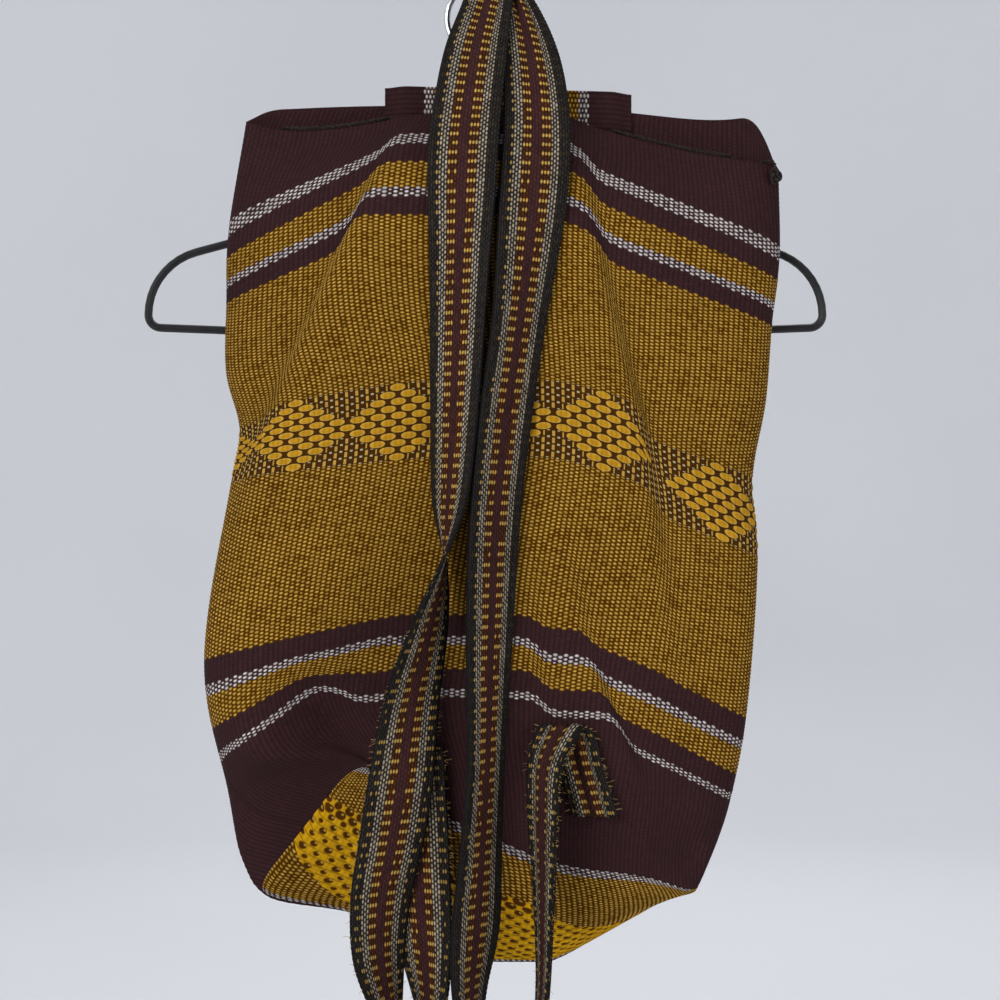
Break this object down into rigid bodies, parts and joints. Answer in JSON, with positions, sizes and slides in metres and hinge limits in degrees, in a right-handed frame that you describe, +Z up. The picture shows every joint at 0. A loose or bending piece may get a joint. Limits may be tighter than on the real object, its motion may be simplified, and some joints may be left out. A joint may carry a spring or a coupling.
{
  "type": "woven drawstring backpack on a coat hanger",
  "caption": "Empty striped handwoven drawstring bag with boxed base and shoulder straps, hung by its straps over the hook of a thin wire coat hanger.",
  "frame": {"origin": "top of the inside of the hanger's hook, where a rail or peg bears", "axes": "+Z up along the hanging bag, +Y away from the strap side towards the hanger's back, +X to the right as seen from the strap side"},
  "size_m": [0.42, 0.1166, 0.674],
  "materials": {
    "cloth": "thick weft-faced plain weave, mustard with maroon and white stripes and brocaded diamonds",
    "rim_cloth": "the same weave in maroon with a white and a mustard stripe",
    "strap_band": "warp-faced woven band, black edges, white and mustard dashes on maroon",
    "dark_cord": "two-ply twisted dark cotton cord",
    "black_coat": "satin black coating",
    "hook_steel": "bright plated wire"
  },
  "bodies": {
    "root": {"back_panel": "cloth", "front_panel": "cloth", "base_panel": "cloth", "strap_tab": "rim_cloth", "strap_left": "strap_band", "strap_right": "strap_band", "drawstring": "dark_cord", "hanger_frame": "black_coat", "hanger_hook": "hook_steel"}
  },
  "joints": []
}
